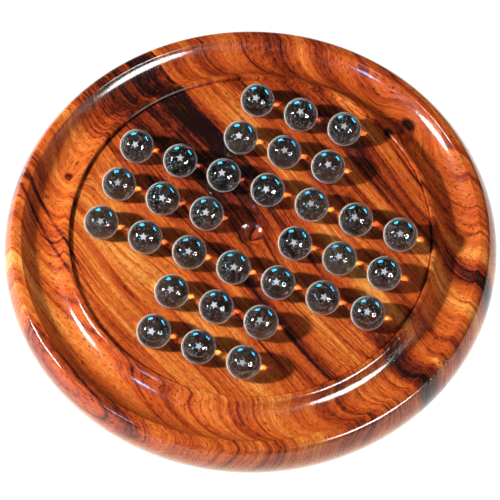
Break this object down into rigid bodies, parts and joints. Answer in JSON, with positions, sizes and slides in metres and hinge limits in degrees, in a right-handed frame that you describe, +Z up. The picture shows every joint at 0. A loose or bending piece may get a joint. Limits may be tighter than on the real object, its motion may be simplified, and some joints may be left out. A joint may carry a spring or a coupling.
{
  "type": "marble solitaire board",
  "caption": "Round turned wooden peg-solitaire board with conical hollows, a ring gallery, a baize underside and loose clear glass marbles.",
  "frame": {"origin": "centre of the underside of the baize pad, on the table", "axes": "+Z up, square to the playing field; +X and +Y along the two arms of the cross of hollows, +Y towards row 1 and +X towards column 7"},
  "size_m": [0.2308, 0.2308, 0.0384],
  "materials": {
    "turned_wood": "figured reddish-brown hardwood under a glossy clear lacquer",
    "baize": "dark green woollen baize with a short nap",
    "clear_glass": "clear polished glass with a small etched white star inside the crown"
  },
  "bodies": {
    "board": {"board": "turned_wood", "baize_pad": "baize"},
    "marble_r1_c3": {"marble_r1_c3": "clear_glass"},
    "marble_r1_c4": {"marble_r1_c4": "clear_glass"},
    "marble_r1_c5": {"marble_r1_c5": "clear_glass"},
    "marble_r2_c3": {"marble_r2_c3": "clear_glass"},
    "marble_r2_c4": {"marble_r2_c4": "clear_glass"},
    "marble_r2_c5": {"marble_r2_c5": "clear_glass"},
    "marble_r3_c1": {"marble_r3_c1": "clear_glass"},
    "marble_r3_c2": {"marble_r3_c2": "clear_glass"},
    "marble_r3_c3": {"marble_r3_c3": "clear_glass"},
    "marble_r3_c4": {"marble_r3_c4": "clear_glass"},
    "marble_r3_c5": {"marble_r3_c5": "clear_glass"},
    "marble_r3_c6": {"marble_r3_c6": "clear_glass"},
    "marble_r3_c7": {"marble_r3_c7": "clear_glass"},
    "marble_r4_c1": {"marble_r4_c1": "clear_glass"},
    "marble_r4_c2": {"marble_r4_c2": "clear_glass"},
    "marble_r4_c3": {"marble_r4_c3": "clear_glass"},
    "marble_r4_c5": {"marble_r4_c5": "clear_glass"},
    "marble_r4_c6": {"marble_r4_c6": "clear_glass"},
    "marble_r4_c7": {"marble_r4_c7": "clear_glass"},
    "marble_r5_c1": {"marble_r5_c1": "clear_glass"},
    "marble_r5_c2": {"marble_r5_c2": "clear_glass"},
    "marble_r5_c3": {"marble_r5_c3": "clear_glass"},
    "marble_r5_c4": {"marble_r5_c4": "clear_glass"},
    "marble_r5_c5": {"marble_r5_c5": "clear_glass"},
    "marble_r5_c6": {"marble_r5_c6": "clear_glass"},
    "marble_r5_c7": {"marble_r5_c7": "clear_glass"},
    "marble_r6_c3": {"marble_r6_c3": "clear_glass"},
    "marble_r6_c4": {"marble_r6_c4": "clear_glass"},
    "marble_r6_c5": {"marble_r6_c5": "clear_glass"},
    "marble_r7_c3": {"marble_r7_c3": "clear_glass"},
    "marble_r7_c4": {"marble_r7_c4": "clear_glass"},
    "marble_r7_c5": {"marble_r7_c5": "clear_glass"}
  },
  "joints": [
    {"name": "lift_r1_c3", "type": "slide", "parent": "board", "child": "marble_r1_c3", "axis": [0, 0, 1], "range_m": [0, 0.03]},
    {"name": "lift_r1_c4", "type": "slide", "parent": "board", "child": "marble_r1_c4", "axis": [0, 0, 1], "range_m": [0, 0.03]},
    {"name": "lift_r1_c5", "type": "slide", "parent": "board", "child": "marble_r1_c5", "axis": [0, 0, 1], "range_m": [0, 0.03]},
    {"name": "lift_r2_c3", "type": "slide", "parent": "board", "child": "marble_r2_c3", "axis": [0, 0, 1], "range_m": [0, 0.03]},
    {"name": "lift_r2_c4", "type": "slide", "parent": "board", "child": "marble_r2_c4", "axis": [0, 0, 1], "range_m": [0, 0.03]},
    {"name": "lift_r2_c5", "type": "slide", "parent": "board", "child": "marble_r2_c5", "axis": [0, 0, 1], "range_m": [0, 0.03]},
    {"name": "lift_r3_c1", "type": "slide", "parent": "board", "child": "marble_r3_c1", "axis": [0, 0, 1], "range_m": [0, 0.03]},
    {"name": "lift_r3_c2", "type": "slide", "parent": "board", "child": "marble_r3_c2", "axis": [0, 0, 1], "range_m": [0, 0.03]},
    {"name": "lift_r3_c3", "type": "slide", "parent": "board", "child": "marble_r3_c3", "axis": [0, 0, 1], "range_m": [0, 0.03]},
    {"name": "lift_r3_c4", "type": "slide", "parent": "board", "child": "marble_r3_c4", "axis": [0, 0, 1], "range_m": [0, 0.03]},
    {"name": "lift_r3_c5", "type": "slide", "parent": "board", "child": "marble_r3_c5", "axis": [0, 0, 1], "range_m": [0, 0.03]},
    {"name": "lift_r3_c6", "type": "slide", "parent": "board", "child": "marble_r3_c6", "axis": [0, 0, 1], "range_m": [0, 0.03]},
    {"name": "lift_r3_c7", "type": "slide", "parent": "board", "child": "marble_r3_c7", "axis": [0, 0, 1], "range_m": [0, 0.03]},
    {"name": "lift_r4_c1", "type": "slide", "parent": "board", "child": "marble_r4_c1", "axis": [0, 0, 1], "range_m": [0, 0.03]},
    {"name": "lift_r4_c2", "type": "slide", "parent": "board", "child": "marble_r4_c2", "axis": [0, 0, 1], "range_m": [0, 0.03]},
    {"name": "lift_r4_c3", "type": "slide", "parent": "board", "child": "marble_r4_c3", "axis": [0, 0, 1], "range_m": [0, 0.03]},
    {"name": "lift_r4_c5", "type": "slide", "parent": "board", "child": "marble_r4_c5", "axis": [0, 0, 1], "range_m": [0, 0.03]},
    {"name": "lift_r4_c6", "type": "slide", "parent": "board", "child": "marble_r4_c6", "axis": [0, 0, 1], "range_m": [0, 0.03]},
    {"name": "lift_r4_c7", "type": "slide", "parent": "board", "child": "marble_r4_c7", "axis": [0, 0, 1], "range_m": [0, 0.03]},
    {"name": "lift_r5_c1", "type": "slide", "parent": "board", "child": "marble_r5_c1", "axis": [0, 0, 1], "range_m": [0, 0.03]},
    {"name": "lift_r5_c2", "type": "slide", "parent": "board", "child": "marble_r5_c2", "axis": [0, 0, 1], "range_m": [0, 0.03]},
    {"name": "lift_r5_c3", "type": "slide", "parent": "board", "child": "marble_r5_c3", "axis": [0, 0, 1], "range_m": [0, 0.03]},
    {"name": "lift_r5_c4", "type": "slide", "parent": "board", "child": "marble_r5_c4", "axis": [0, 0, 1], "range_m": [0, 0.03]},
    {"name": "lift_r5_c5", "type": "slide", "parent": "board", "child": "marble_r5_c5", "axis": [0, 0, 1], "range_m": [0, 0.03]},
    {"name": "lift_r5_c6", "type": "slide", "parent": "board", "child": "marble_r5_c6", "axis": [0, 0, 1], "range_m": [0, 0.03]},
    {"name": "lift_r5_c7", "type": "slide", "parent": "board", "child": "marble_r5_c7", "axis": [0, 0, 1], "range_m": [0, 0.03]},
    {"name": "lift_r6_c3", "type": "slide", "parent": "board", "child": "marble_r6_c3", "axis": [0, 0, 1], "range_m": [0, 0.03]},
    {"name": "lift_r6_c4", "type": "slide", "parent": "board", "child": "marble_r6_c4", "axis": [0, 0, 1], "range_m": [0, 0.03]},
    {"name": "lift_r6_c5", "type": "slide", "parent": "board", "child": "marble_r6_c5", "axis": [0, 0, 1], "range_m": [0, 0.03]},
    {"name": "lift_r7_c3", "type": "slide", "parent": "board", "child": "marble_r7_c3", "axis": [0, 0, 1], "range_m": [0, 0.03]},
    {"name": "lift_r7_c4", "type": "slide", "parent": "board", "child": "marble_r7_c4", "axis": [0, 0, 1], "range_m": [0, 0.03]},
    {"name": "lift_r7_c5", "type": "slide", "parent": "board", "child": "marble_r7_c5", "axis": [0, 0, 1], "range_m": [0, 0.03]}
  ]
}
